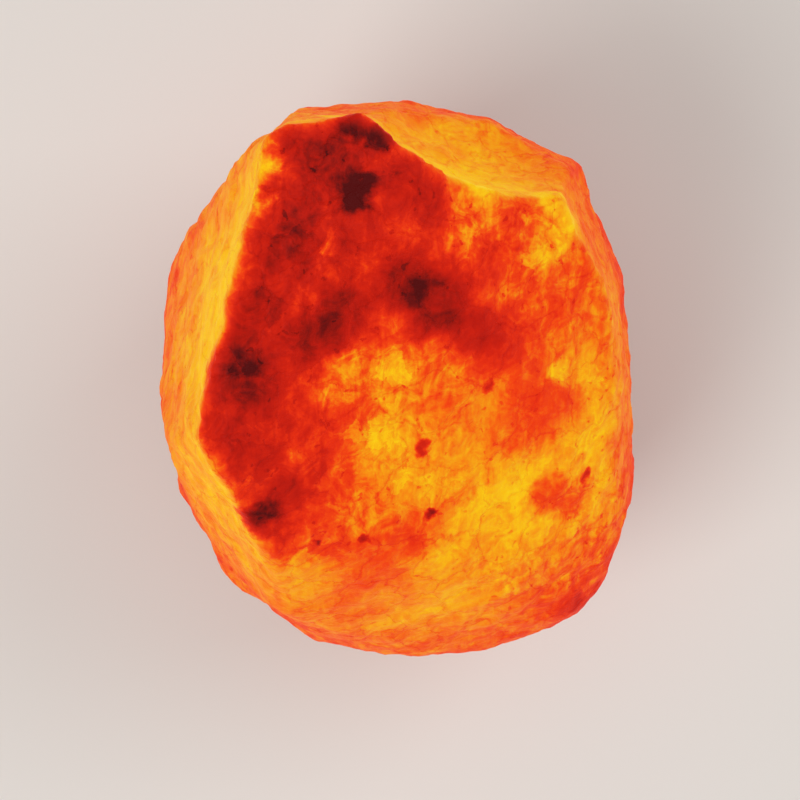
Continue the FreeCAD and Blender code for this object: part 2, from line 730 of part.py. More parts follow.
def make_glass():
    """A bulb with a straight neck, sloping shoulders and a sloped crown."""
    collar, crown = f"({CAP_TOP} + glass_collar)", f"({GLASS_TOP} - glass_crown)"
    shoulder = f"({collar} + glass_shoulder)"
    inside = "glass_radius - glass_wall"
    turned("lamp_glass", (
        ("glass_neck - glass_wall", GLASS_BOTTOM),
        ("glass_neck", GLASS_BOTTOM),
        ("glass_neck", collar),
        ("glass_radius", shoulder),
        ("glass_radius", crown),
        ("glass_radius / 2", GLASS_TOP),
        ("0", GLASS_TOP),
        ("0", crown),
        (inside, crown),
        (inside, shoulder),
        ("glass_neck - glass_wall", shoulder),
    ))


def make_stem():
    foot = f"{GLASS_BOTTOM} + 2 * glass_wall"
    turned("lamp_stem", (
        ("0", GLASS_BOTTOM), ("stem_flare", GLASS_BOTTOM), ("stem_flare", foot),
        ("stem_radius", foot), ("stem_radius", STEM_TOP), ("0", STEM_TOP),
    ))


def wire(name, angle):
    """A straight wire from the top of the stem out to the filament."""
    up = Vector(0, 0, 1)
    foot = outward(angle) * size("wire_foot") + up * size(f"{STEM_TOP} + wire_radius")
    head = outward(angle) * size("filament_span") + up * size(f"{FILAMENT} - filament_radius - wire_radius")
    made = bind(doc.addObject("Part::Prism", f"{name}_{angle}"), Circumradius="wire_radius")
    made.Height = (head - foot).Length
    made.Placement = Placement(foot, Rotation(up, head - foot))
    return made


def make_wires():
    together("lead_wires", [wire("lead", angle) for angle in LEAD_ANGLES])
    together("filament_supports", [wire("support", angle) for angle in SUPPORT_ANGLES])


def make_filament():
    """A rod through the heads of the leads and supports, with straight spans between them."""
    span, radius, height = size("filament_span"), size("filament_radius"), size(FILAMENT)
    sections = []
    for angle in (LEAD_ANGLES[0], *SUPPORT_ANGLES, LEAD_ANGLES[1]):
        ring = []
        for i in range(FILAMENT_SIDES):
            turn = 2 * math.pi * i / FILAMENT_SIDES
            point = outward(angle) * (span + radius * math.cos(turn))
            point.z = height + radius * math.sin(turn)
            ring.append(point)
        sections.append(Part.makePolygon(ring + ring[:1]))
    rod = doc.addObject("Part::Feature", "filament")
    rod.Shape = Part.makeLoft(sections, True, True)


# The hole that passes through the plate, the clip and the nut.
nipple_way = cylinder("nipple_way", "nipple_radius + seat_gap", f"2 * {PLATE_TOP}", "0")

SUBPARTS = (
    "salt_crystal", "wooden_base", "foot_pads", "base_screws",
    "holder_plate", "spring_clip", "threaded_nipple", "nipple_nut", "holder_cup", "holder_sleeve",
    "contact_block", "screw_shell", "centre_contact", "terminal_blocks", "terminal_screws",
    "lamp_tip", "lamp_insulator", "lamp_cap", "lamp_glass", "lamp_stem", "lead_wires", "filament_supports",
    "filament",
)

for make in (
    make_crystal, make_base, make_feet, make_screws,
    make_plate, make_clip, make_nipple, make_nut, make_cup, make_sleeve,
    make_block, make_shell, make_contact, make_terminals,
    make_tip, make_insulator, make_cap, make_glass, make_stem, make_wires, make_filament,
):
    make()
doc.recompute()

faults = [f"{thing.Label}: {thing.State}" for thing in doc.Objects if {"Invalid", "Error"} & set(thing.State)]
for name in SUBPARTS:
    shape = doc.getObject(name).Shape
    if shape.isNull() or not shape.isValid() or not shape.Solids:
        faults.append(name + ": no valid solid")
if faults:
    raise RuntimeError("; ".join(faults))

os.makedirs("parts", exist_ok=True)
for name in SUBPARTS:
    doc.getObject(name).Shape.exportStep(f"parts/{name}.step")
print(len(SUBPARTS), "sub-parts written")
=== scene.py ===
"""The looks of a lit salt crystal lamp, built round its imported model.

The frame is in metres, +Z up, with the origin on the table under the middle of the lump. Sizes and places are
written in millimetres and turned to metres where a mesh takes them.
"""

import math

import bpy
import numpy as np
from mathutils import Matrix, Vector


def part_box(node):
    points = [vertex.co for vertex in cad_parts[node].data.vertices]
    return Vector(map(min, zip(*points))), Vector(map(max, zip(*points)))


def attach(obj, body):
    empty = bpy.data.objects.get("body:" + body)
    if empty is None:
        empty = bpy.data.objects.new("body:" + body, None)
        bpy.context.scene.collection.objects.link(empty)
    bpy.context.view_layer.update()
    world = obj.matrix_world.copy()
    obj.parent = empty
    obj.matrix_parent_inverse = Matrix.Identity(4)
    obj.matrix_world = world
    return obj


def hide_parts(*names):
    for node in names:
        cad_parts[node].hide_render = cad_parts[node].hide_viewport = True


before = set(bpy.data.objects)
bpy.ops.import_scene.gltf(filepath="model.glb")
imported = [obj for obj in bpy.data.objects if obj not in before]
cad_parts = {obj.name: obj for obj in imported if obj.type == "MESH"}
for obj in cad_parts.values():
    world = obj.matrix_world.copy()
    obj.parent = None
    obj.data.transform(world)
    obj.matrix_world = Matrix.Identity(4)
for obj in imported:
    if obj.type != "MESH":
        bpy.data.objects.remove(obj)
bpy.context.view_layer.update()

MM = 0.001
UP = Vector((0, 0, 1))

# The lump: its bore, its pilot holes and how it is roughened.
BORE_RADIUS = 25.0
BORE_ROOF = 113.0
PILOT_RADIUS = 2.02
PILOT_ROOF = 41.1
SCREW_CIRCLE = 39.5
SCREW_ANGLES = (30, 150, 270)
LUMP_VOXEL = 1.1
LUMP_MELT = 5
SPARE_BELOW = 4.0
SLOPE_LOOKS = Vector((0.45, -0.33, 0.83)).normalized()
SLOPE_ENDS = 0.84
SLOPE_FULL = 0.93
SOFT_FROM = 0.0
SOFT_OVER = 35.0
SHARP_LEFT = -34.0
SHARP_OVER = 22.0
ROUNDING = 70
PAINT_BLUR = 90
FOOT_SLACK = 0.01
HOLE_SLACK = 1

# The wooden base and what screws to it.
PAD_CIRCLE = 46.0
PAD_WIDTH = 12.0
PAD_HEIGHT = 3.0
CHANNEL_HALF = 4.5
CHANNEL_FROM = 24.0
CHANNEL_TO = 80.0
CHANNEL_ROOF = 11.0
SCREW_WAY_RADIUS = 2.3
SCREW_WAY_TOP = 40.0
CROSS_LENGTH = 2.3
CROSS_WIDTH = 0.45
CROSS_DEPTH = 2.0
NIPPLE_HOLE = 5.02
NUT_ACROSS = 14.0
NUT_LOW = 8.0
NUT_HIGH = 11.0

# The lampholder and the lamp.
GRIP_FLUTES = 24
CAP_PITCH = 2.82
THREAD_STEP = 0.24
SHELL_OUTSIDE = 7.5
SHELL_INSIDE = 7.15
SHELL_LOW = 27.0
SHELL_HIGH = 46.0
CAP_OUTSIDE = 7.0
CAP_INSIDE = 6.7
CAP_LOW = 35.05
CAP_THREAD_TOP = 46.05
GLASS_RADIUS = 11.0
GLASS_WALL = 0.7
GLASS_NECK = 6.6
GLASS_BOTTOM = 44.05
GLASS_COLLAR = 53.0
GLASS_SHOULDER = 65.0
GLASS_DOME = 81.05
SHOULDER_STEPS = 12
DOME_STEPS = 16
FILAMENT_SPAN = 6.5
FILAMENT_HEIGHT = 74.05
COIL_RADIUS = 0.34
COIL_TURNS = 54
COIL_STEPS = 9
LEAD_ANGLES = (180, 360)
SUPPORT_ANGLES = (225, 270, 315)

# The photograph's camera looks straight down.
CAMERA_HEIGHT = 525.0
CAMERA_ASIDE = 0.42
CAMERA_FORWARD = 5.56
GIRTH_HEIGHT = 75.0
PICTURE_WIDTH = 222.4
SENSOR = 36.0

# The stage, in metres.
FLOOR_SIZE = 6.0
SKY_STRENGTH = 0.45


# Small tools.

def colour(red, green, blue):
    """A colour given as on a screen, 0 to 255, as the shader's linear numbers."""
    def linear(value):
        share = value / 255
        return share / 12.92 if share <= 0.04045 else ((share + 0.055) / 1.055) ** 2.4
    return linear(red), linear(green), linear(blue), 1.0


def mm(x, y, z):
    return Vector((x, y, z)) * MM


def round_spot(radius, angle, height=0.0):
    """The spot at a radius and an angle from +X, all in millimetres and degrees."""
    return radius * math.cos(math.radians(angle)), radius * math.sin(math.radians(angle)), height


def only(piece):
    """Selects one object and nothing else."""
    bpy.ops.object.select_all(action="DESELECT")
    piece.select_set(True)
    bpy.context.view_layer.objects.active = piece
    return piece


def editing(piece):
    """Opens a piece for editing, all of it selected."""
    only(piece)
    bpy.ops.object.mode_set(mode="EDIT")
    bpy.ops.mesh.select_mode(type="VERT")
    bpy.ops.mesh.select_all(action="SELECT")


def done():
    bpy.ops.object.mode_set(mode="OBJECT")


def tidy_skin():
    """Merges doubles and turns every face outwards, in edit mode."""
    bpy.ops.mesh.select_all(action="SELECT")
    bpy.ops.mesh.remove_doubles(threshold=1e-6)
    bpy.ops.mesh.normals_make_consistent(inside=False)


def pick_faces(piece, wanted):
    """Selects the faces whose middle the test wants, and leaves edit mode on."""
    only(piece)
    for item in (*piece.data.vertices, *piece.data.edges):
        item.select = False
    for face in piece.data.polygons:
        face.select = bool(wanted(face.center / MM))
    bpy.ops.object.mode_set(mode="EDIT")
    bpy.ops.mesh.select_mode(type="FACE")


def modify(piece, kind, **settings):
    """Adds a modifier and applies it."""
    only(piece)
    modifier = piece.modifiers.new(kind.lower(), kind)
    for name, value in settings.items():
        setattr(modifier, name, value)
    bpy.ops.object.modifier_apply(modifier=modifier.name)


def copy_of(node, name):
    """A merged copy of a part's own mesh."""
    piece = bpy.data.objects.new(name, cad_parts[node].data.copy())
    bpy.context.scene.collection.objects.link(piece)
    piece.data.materials.clear()
    editing(piece)
    bpy.ops.mesh.remove_doubles(threshold=1e-6)
    done()
    return piece


def added(name, operator, **settings):
    """Adds a primitive with nothing else selected."""
    bpy.ops.object.select_all(action="DESELECT")
    operator(**settings)
    piece = bpy.context.object
    piece.name = name
    return piece


def turned(name, outline, steps=48):
    """Spins an outline of radius and height about the upright axis.

    The outline starts and ends on the axis, or closes on itself.
    """
    piece = added(name, bpy.ops.mesh.primitive_plane_add, size=MM)
    editing(piece)
    bpy.ops.mesh.merge(type="CENTER")
    spots = [mm(radius, 0, height) for radius, height in outline]
    bpy.ops.transform.translate(value=spots[0])
    for last, spot in zip(spots, spots[1:]):
        bpy.ops.mesh.extrude_vertices_move(TRANSFORM_OT_translate={"value": spot - last})
    bpy.ops.mesh.select_all(action="SELECT")
    bpy.ops.mesh.spin(steps=steps, angle=2 * math.pi, center=(0, 0, 0), axis=UP)
    tidy_skin()
    done()
    return piece


def ring_of(*outline):
    """The outline with its first point again at the end."""
    return (*outline, outline[0])


def rod(name, radius, low, high, steps=48):
    return turned(name, ((0, low), (radius, low), (radius, high), (0, high)), steps)


def rings(radius, low, high, step):
    """Points up an outline at a steady step, for what is threaded or fluted later."""
    count = max(1, round((high - low) / step))
    return [(radius, low + (high - low) * i / count) for i in range(count + 1)]


def block(name, low, high):
    """A box between two corners."""
    piece = added(name, bpy.ops.mesh.primitive_cube_add, size=1.0)
    editing(piece)
    bpy.ops.transform.resize(value=[(b - a) * MM for a, b in zip(low, high)])
    bpy.ops.transform.translate(value=[(a + b) / 2 * MM for a, b in zip(low, high)])
    done()
    return piece


def moved(piece, x=0, y=0, turn=0):
    """Turns a piece about the upright axis through the origin, and then moves it sideways."""
    editing(piece)
    if turn:
        bpy.ops.transform.rotate(value=-math.radians(turn), orient_axis="Z", center_override=(0, 0, 0))
    bpy.ops.transform.translate(value=mm(x, y, 0))
    done()
    return piece


def another(piece, name):
    twin = bpy.data.objects.new(name, piece.data.copy())
    bpy.context.scene.collection.objects.link(twin)
    return twin


def joined(name, pieces):
    only(pieces[0])
    for piece in pieces:
        piece.select_set(True)
    bpy.ops.object.join()
    pieces[0].name = name
    return pieces[0]


def cut_by(piece, tool, operation="DIFFERENCE"):
    modify(piece, "BOOLEAN", object=tool, operation=operation, solver="EXACT")
    bpy.data.objects.remove(tool)


def bevel_edges(piece, width, segments):
    """Rounds the edges that bend by more than 40 degrees."""
    modify(
        piece, "BEVEL", width=width * MM, segments=segments, limit_method="ANGLE",
        angle_limit=math.radians(40), use_clamp_overlap=True,
    )


def points(piece):
    flat = np.empty(len(piece.data.vertices) * 3, np.float32)
    piece.data.vertices.foreach_get("co", flat)
    return flat.reshape(-1, 3) / MM


def put(piece, places):
    piece.data.vertices.foreach_set("co", (places * MM).astype(np.float32).ravel())
    piece.data.update()


def normals(piece):
    flat = np.empty(len(piece.data.vertices) * 3, np.float32)
    piece.data.vertices.foreach_get("normal", flat)
    return flat.reshape(-1, 3)


def note(piece, name, values):
    """Keeps one number for each vertex with the mesh."""
    layer = piece.data.attributes.new(name, "FLOAT", "POINT")
    layer.data.foreach_set("value", values.astype(np.float32))


def evened(piece, values, rounds, share):
    """Draws one number per vertex towards its neighbours', where the share is over 0."""
    ends = np.empty(len(piece.data.edges) * 2, np.int32)
    piece.data.edges.foreach_get("vertices", ends)
    first, second = ends.reshape(-1, 2).T
    count = len(values)
    neighbours = np.maximum(np.bincount(ends, minlength=count), 1)
    for _ in range(rounds):
        total = np.bincount(first, values[second], count) + np.bincount(second, values[first], count)
        values = values + share * (total / neighbours - values)
    return values


def swell(piece, change):
    """Moves each vertex out from the upright axis by change(radius, angle, height), or in if negative."""
    places = points(piece).astype(float)
    radius = np.hypot(places[:, 0], places[:, 1])
    angle = np.arctan2(places[:, 1], places[:, 0])
    scale = 1 + change(radius, angle, places[:, 2]) / np.maximum(radius, 0.01)
    places[:, 0] *= scale
    places[:, 1] *= scale
    put(piece, places)


def threaded(piece, inner, low, high, pitch, depth, run_out=1.0):
    """Cuts a right-hand thread into what lies outside the inner radius, from low to high."""
    def groove(radius, angle, height):
        wave = 0.5 - 0.5 * np.cos(2 * np.pi * height / pitch - angle)
        fade = np.clip(np.minimum(height - low, high - height) / run_out, 0, 1)
        return np.where(radius > inner, -depth * wave * fade, 0.0)
    swell(piece, groove)


def wire_through(name, places, radius, sides=8):
    """A bent round wire along a line of places."""
    curve = bpy.data.curves.new(name, "CURVE")
    curve.dimensions = "3D"
    curve.bevel_depth = radius * MM
    curve.bevel_resolution = sides // 2 - 2
    curve.use_fill_caps = True
    spline = curve.splines.new("POLY")
    spline.points.add(len(places) - 1)
    for spot, place in zip(spline.points, places):
        spot.co = (*mm(*place), 1)
    piece = bpy.data.objects.new(name, curve)
    bpy.context.scene.collection.objects.link(piece)
    only(piece)
    bpy.ops.object.convert(target="MESH")
    editing(piece)
    tidy_skin()
    done()
    return piece


def rounded_way(corners, radius, steps=5):
    """The corners of a bent wire, each but the ends turned into a short curve."""
    way = [Vector(corners[0])]
    for before, corner, after in zip(corners, corners[1:], corners[2:]):
        corner = Vector(corner)
        start = corner + (Vector(before) - corner).normalized() * radius
        end = corner + (Vector(after) - corner).normalized() * radius
        for i in range(steps + 1):
            share = i / steps
            way.append(start * (1 - share) ** 2 + corner * 2 * share * (1 - share) + end * share ** 2)
    return [*way, Vector(corners[-1])]


# Materials.

class Link:
    """A node's output. Arithmetic on it adds Math nodes."""

    def __init__(self, paint, socket):
        self.paint = paint
        self.socket = socket

    def maths(self, operation, *numbers):
        return self.paint.node("ShaderNodeMath", {"operation": operation}, dict(enumerate(numbers)))

    def __add__(self, other):
        return self.maths("ADD", self, other)

    def __sub__(self, other):
        return self.maths("SUBTRACT", self, other)

    def __rsub__(self, other):
        return self.maths("SUBTRACT", other, self)

    def __mul__(self, other):
        return self.maths("MULTIPLY", self, other)

    def __truediv__(self, other):
        return self.maths("DIVIDE", self, other)

    def __pow__(self, other):
        return self.maths("POWER", self, other)

    __radd__ = __add__
    __rmul__ = __mul__

    def most(self, other):
        return self.maths("MAXIMUM", self, other)

    def wave(self):
        """A sine of this, from 0 to 1."""
        return self.maths("SINE", self) * 0.5 + 0.5

    def step(self, low, high, start=0.0, end=1.0):
        """Goes smoothly from start to end as this goes from low to high."""
        settings = {"interpolation_type": "SMOOTHSTEP"}
        sockets = {"Value": self, "From Min": low, "From Max": high, "To Min": start, "To Max": end}
        return self.paint.node("ShaderNodeMapRange", settings, sockets)


class Paint:
    """A material on one Principled shader, with its pattern in millimetres on the piece."""

    def __init__(self, name, **sockets):
        self.material = bpy.data.materials.new(name)
        self.material.use_nodes = True
        tree = self.material.node_tree
        self.nodes = tree.nodes
        self.links = tree.links
        self.surface = self.nodes["Principled BSDF"]
        self.place = self.vector("SCALE", self.node("ShaderNodeTexCoord", out="Object"), Scale=1 / MM)
        self.set(**sockets)

    def feed(self, node, sockets):
        for name, value in sockets.items():
            if isinstance(value, Link):
                self.links.new(value.socket, node.inputs[name])
            else:
                node.inputs[name].default_value = value

    def set(self, **sockets):
        """Sets the shader's own sockets: a socket's name is written with _ for each space."""
        self.feed(self.surface, {name.replace("_", " "): value for name, value in sockets.items()})

    def node(self, kind, settings=None, sockets=None, out=0):
        node = self.nodes.new(kind)
        for name, value in (settings or {}).items():
            if name == "stops":
                self.set_stops(node.color_ramp.elements, value)
            else:
                setattr(node, name, value)
        self.feed(node, sockets or {})
        return Link(self, node.outputs[out])

    @staticmethod
    def set_stops(elements, stops):
        while len(elements) < len(stops):
            elements.new(1.0)
        for element, (position, shade) in zip(elements, stops):
            element.position = position
            element.color = shade

    def vector(self, operation, *vectors, out=0, **sockets):
        inputs = {**dict(enumerate(vectors)), **sockets}
        return self.node("ShaderNodeVectorMath", {"operation": operation}, inputs, out)

    def split(self, vector):
        return [self.node("ShaderNodeSeparateXYZ", sockets={0: vector}, out=axis) for axis in "XYZ"]

    def noise(self, size, detail=4.0, roughness=0.55, distortion=0.0, place=None, out=0):
        """Clouds of about that size in millimetres, from 0 to 1."""
        sockets = {
            "Vector": place or self.place, "Scale": 1 / size, "Detail": detail, "Roughness": roughness,
            "Distortion": distortion,
        }
        return self.node("ShaderNodeTexNoise", sockets=sockets, out=out)

    def stretched(self, *scales, turn=(0, 0, 0)):
        """The place on the piece, turned and then scaled along each axis."""
        sockets = {"Vector": self.place, "Rotation": [math.radians(a) for a in turn], "Scale": scales}
        return self.node("ShaderNodeMapping", {"vector_type": "TEXTURE"}, sockets)

    def cells(self, size, feature="F1", out="Distance", place=None):
        sockets = {"Vector": place or self.place, "Scale": 1 / size}
        return self.node("ShaderNodeTexVoronoi", {"feature": feature}, sockets, out)

    def ramp(self, share, *stops):
        return self.node("ShaderNodeValToRGB", {"stops": stops}, {"Fac": share})

    def blend(self, factor, one, other):
        """One colour where the factor is 0, the other where it is 1."""
        settings = {"data_type": "RGBA"}
        return self.node("ShaderNodeMix", settings, {0: factor, 6: one, 7: other}, out=2)

    def attribute(self, name):
        return self.node("ShaderNodeAttribute", {"attribute_name": name}, out="Fac")

    def bump(self, height, distance, strength=1.0):
        """Raises the surface by the height's 0 to 1, at most a distance in millimetres."""
        sockets = {"Height": height, "Distance": distance * MM, "Strength": strength}
        self.set(Normal=self.node("ShaderNodeBump", sockets=sockets))


# Rock salt, lit by the lamp in its bore. The bulb's light through the salt is painted in: each spot's glow
# goes by the millimetres of salt between it and the lit bore, as emission colour and, at a lower share, as
# base colour.

GLOW = (
    (0.18, colour(255, 214, 30)),
    (0.25, colour(254, 204, 14)),
    (0.30, colour(251, 186, 13)),
    (0.34, colour(249, 160, 14)),
    (0.385, colour(248, 128, 11)),
    (0.42, colour(247, 99, 10)),
    (0.46, colour(244, 68, 10)),
    (0.52, colour(233, 46, 10)),
    (0.60, colour(210, 31, 8)),
    (0.73, colour(186, 22, 7)),
    (0.82, colour(160, 18, 6)),
    (0.90, colour(129, 14, 8)),
    (1.00, colour(84, 8, 8)),
)
FULL_DEPTH = 100.0
PAINTED_GLOW_STRENGTH = 0.74
PAINTED_GLOW_IN_BASE = 0.28
LIT_FROM = 35.0
LIT_TO = 90.0
HALF_WIDTH = 65.0
HALF_DEPTH = 76.75
RIM_DEPTH = 44.0
# Below this height the glow is painted darker towards the foot.
DARK_BELOW = 50.0

# Dark inclusions and clear windows in the salt, and spots of painted shade and painted light where the glow
# is darker or brighter: middle and radius, and how much salt each adds to what the light crosses or takes
# from it.
INCLUSIONS_AND_PAINTED_LIGHT = (
    ((9, 17, 159), 9, 38),
    ((1, 21, 165), 8, 30),
    ((17, 10, 152), 7, 24),
    ((24, 8, 147), 8, 14),
    ((-11, 14, 169), 8, 22),
    ((-19, 8, 170), 7, 22),
    ((-10, 39, 175), 5, 35),
    ((-6, 42, 174), 3, 15),
    ((-31, -32, 158), 5, 42),
    ((-25, -26, 159), 6, 20),
    ((-36, 0, 174), 7, 24),
    ((-30, -2, 171), 7, 12),
    ((-38, -12, 170), 5, 10),
    ((8, -33, 138), 1.8, 45),
    ((6, -17, 147), 2, 25),
    ((21, -3, 145), 1.6, 18),
    ((47, -25, 114), 2, 30),
    ((-19, -39, 149), 1.3, 35),
    ((-8, -38, 144), 1.4, 30),
    ((37, -29, 120), 6, 13),
    ((35, -8, 133), 14, 9),
    ((-21, 33, 179), 5, 12),
    ((-28, 10, 174), 8, 10),
    ((-18, -20, 159), 4, 10),
    ((-28, 36, 182), 3, -24),
    ((-25, 44, 183), 4, -18),
    ((-17, 29, 176), 5, -10),
    ((-7, -2, 161), 11, -8),
    ((-6, -17, 154), 8, -5),
    ((17, 36, 160), 9, -14),
    ((35, 33, 147), 10, -14),
    ((39, 1, 134), 4, -12),
    ((-3, 51, 176), 4, 34),
    ((-9, 54, 178), 4, 26),
    ((22, -9, 142), 21, 9),
    ((38, 11, 138), 10, 6),
    ((-8, -46, 140), 14, 10),
    ((5, -36, 137), 8, 6),
    ((-5, -56, 125), 16, 8),
    ((44, -30, 113), 7, 12),
    ((-31, -14, 166), 8, 11),
)


def salt():
    paint = Paint("rock_salt", Roughness=0.55, Specular_IOR_Level=0.08, Emission_Strength=PAINTED_GLOW_STRENGTH)
    x, y, z = paint.split(paint.place)
    above = (z - LIT_TO).most(0.0)
    below = (LIT_FROM - z).most(0.0)
    reach = (x * x + y * y + above * above + below * below) ** 0.5 - BORE_RADIUS
    rim = ((x / HALF_WIDTH) ** 2.0 + (y / HALF_DEPTH) ** 2.0) ** 0.5 * RIM_DEPTH
    # On faces noted as sides the depth goes to the rim's, so they are painted the brighter glow of light
    # through a thin wall.
    side = paint.attribute("side")
    depth = reach + side * (rim - reach) + (DARK_BELOW - z).most(0.0) * 0.35

    clouds = paint.noise(20.0, detail=3.0, roughness=0.5, distortion=0.5) - 0.5
    flakes = paint.noise(6.5, detail=7.0, roughness=0.62, distortion=1.2) - 0.5
    grit = paint.noise(1.3, detail=3.0, roughness=0.6) - 0.5
    grain = paint.stretched(2.4, 13.0, 9.0)
    streaks = paint.noise(1.0, detail=4.0, roughness=0.6, distortion=0.6, place=grain) - 0.5
    jitter = paint.noise(4.5, out=1)
    ragged = paint.vector("MULTIPLY_ADD", jitter, (7.0, 7.0, 7.0), paint.place)
    chips = paint.split(paint.cells(8.5, out="Color", place=ragged))[0] - 0.5
    seams = paint.cells(15.0, "DISTANCE_TO_EDGE", place=ragged).step(0.0, 0.035, 1.0, 0.0)
    specks = paint.cells(4.2, place=ragged).step(0.10, 0.17, 1.0, 0.0)
    liveliness = (depth / 45.0 - 0.15) * (1.0 - side * 0.35)
    mottle = clouds * 30.0 + flakes * 46.0 + grit * 13.0 + streaks * 20.0 + chips * 7.0
    depth = depth + mottle * liveliness + seams * 3.0 + specks * 9.0 * liveliness
    near = paint.vector("ADD", ragged, (-3.5, -3.5, -3.5))
    # Each spot makes the glow darker or brighter: partly dark inclusions and clear windows, partly painted
    # shade and painted light.
    for middle, radius, extra in INCLUSIONS_AND_PAINTED_LIGHT:
        gap = paint.vector("DISTANCE", near, middle, out="Value")
        depth = depth + gap.step(radius * 0.35, radius * 1.35, extra, 0.0)
    glow = paint.ramp(depth / FULL_DEPTH, *GLOW)
    # The base colour is the painted glow at a lower share, so the bulb's light and shade are painted into the
    # salt's own colour as well.
    paint.set(Base_Color=paint.vector("SCALE", glow, Scale=PAINTED_GLOW_IN_BASE), Emission_Color=glow)
    paint.bump(flakes + chips * 0.5 + grit * 0.5 + streaks * 0.3 - seams * 0.3 - specks * 0.4, 1.0, 0.7)
    return paint


def wood():
    """Dark oiled wood, its grain along the width."""
    paint = Paint("oiled_wood")
    x, y, z = paint.split(paint.place)
    drift = paint.noise(1.0, detail=3.0, place=paint.stretched(70.0, 16.0, 16.0)) * 26.0
    rings = (((y + 30.0) ** 2.0 + (z + 42.0) ** 2.0) ** 0.5 * 1.15 + drift).wave()
    pores = paint.noise(1.0, detail=5.0, roughness=0.65, place=paint.stretched(9.0, 0.45, 0.45))
    handling = paint.noise(24.0, detail=3.0)
    shade = rings * 0.55 + pores * 0.5 + (handling - 0.5) * 0.5
    stops = (
        (0.15, colour(46, 24, 13)), (0.42, colour(78, 43, 23)), (0.68, colour(111, 66, 36)),
        (0.95, colour(139, 88, 50)),
    )
    open_pores = pores.step(0.30, 0.42, 1.0, 0.0)
    paint.set(Base_Color=paint.ramp(shade - open_pores * 0.25, *stops))
    paint.set(Roughness=0.38 + open_pores * 0.3 + (handling - 0.5) * 0.2)
    paint.bump(rings * 0.3 - open_pores, 0.12, 0.6)
    return paint


def felt():
    paint = Paint("dark_felt", Roughness=0.95, Sheen_Weight=0.5)
    fibres = paint.noise(1.0, detail=5.0, distortion=2.0, place=paint.stretched(1.4, 0.35, 0.5))
    tufts = paint.noise(1.6, detail=4.0)
    paint.set(Base_Color=paint.blend(fibres * 0.6 + tufts * 0.5, colour(24, 20, 18), colour(74, 66, 60)))
    paint.bump(fibres + tufts * 0.6, 0.35, 0.9)
    return paint


def metal(name, dull, bright, roughness, brush=(1.0, 1.0, 1.0)):
    """Metal with cloudy tarnish and fine scratches drawn out along the brush."""
    paint = Paint(name, Metallic=1.0)
    tarnish = paint.noise(5.0, detail=6.0, roughness=0.6)
    scratches = paint.noise(0.3, detail=4.0, place=paint.stretched(*brush))
    flecks = paint.split(paint.cells(1.1, out="Color"))[0]
    worn = tarnish.step(0.32, 0.68) * 0.7 + flecks * 0.18 + scratches * 0.12
    paint.set(Base_Color=paint.blend(worn, dull, bright))
    paint.set(Roughness=roughness + (0.5 - tarnish) * 0.3 + (scratches - 0.5) * 0.2)
    paint.bump(scratches, 0.03, 0.5)
    return paint


def black_plastic():
    paint = Paint("black_phenolic")
    mould = paint.noise(0.4, detail=3.0)
    handling = paint.noise(7.0, detail=4.0)
    paint.set(Base_Color=paint.blend(handling, colour(17, 16, 16), colour(38, 35, 33)))
    paint.set(Roughness=0.36 + mould * 0.12 + (handling - 0.5) * 0.2)
    paint.bump(mould, 0.04, 0.6)
    return paint


def porcelain():
    paint = Paint("white_porcelain")
    firing = paint.noise(6.0, detail=4.0)
    grit = paint.noise(0.5, detail=4.0)
    iron = paint.cells(2.6).step(0.05, 0.09, 1.0, 0.0)
    body = paint.blend(firing, colour(222, 214, 198), colour(240, 236, 226))
    paint.set(Base_Color=paint.blend(iron * 0.6, body, colour(130, 100, 76)), Roughness=0.5 + grit * 0.2)
    paint.bump(grit, 0.06, 0.6)
    return paint


def black_glass():
    paint = Paint("black_glass", Coat_Weight=0.6)
    flow = paint.noise(2.4, detail=3.0, distortion=1.5)
    paint.set(Base_Color=paint.blend(flow, colour(10, 10, 13), colour(34, 33, 38)))
    paint.set(Roughness=0.1 + flow * 0.12)
    paint.bump(flow, 0.08, 0.5)
    return paint


def clear_glass():
    paint = Paint("clear_glass", Transmission_Weight=1.0, IOR=1.46)
    haze = paint.noise(9.0, detail=3.0)
    paint.set(Base_Color=paint.blend(haze, colour(246, 250, 250), colour(255, 255, 255)))
    paint.set(Roughness=haze * 0.03)
    paint.bump(haze, 0.05, 0.3)
    return paint


def hot_tungsten():
    paint = Paint("hot_tungsten", Roughness=0.6, Emission_Strength=4.0)
    heat = paint.noise(1.2, detail=2.0)
    glow = paint.blend(heat, colour(255, 172, 84), colour(255, 208, 128))
    paint.set(Base_Color=colour(120, 96, 70), Emission_Color=glow)
    return paint


PAINTS = {
    "salt": salt(),
    "wood": wood(),
    "felt": felt(),
    "zinc_steel": metal("zinc_plate", colour(128, 131, 134), colour(190, 192, 194), 0.38),
    "spring_steel": metal("spring_steel", colour(92, 94, 98), colour(150, 152, 156), 0.3, (14.0, 1.0, 1.0)),
    "black_plastic": black_plastic(),
    "porcelain": porcelain(),
    "brass": metal("brass", colour(150, 104, 48), colour(214, 168, 88), 0.3),
    "solder": metal("solder", colour(120, 120, 122), colour(178, 178, 182), 0.42),
    "black_glass": black_glass(),
    "nickel_brass": metal("nickel_plate", colour(150, 144, 134), colour(206, 200, 190), 0.26),
    "clear_glass": clear_glass(),
    "wire": metal("drawn_wire", colour(96, 95, 94), colour(150, 148, 146), 0.4),
    "tungsten": hot_tungsten(),
}


def finish(piece, body, slot, node, smooth_under=32):
    """Shades a piece, gives it its material and body, and lets it stand for a node."""
    only(piece)
    bpy.ops.object.shade_smooth_by_angle(angle=math.radians(smooth_under))
    piece.data.materials.clear()
    piece.data.materials.append(PAINTS[slot].material)
    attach(piece, body)
    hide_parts(node)


# The lump.

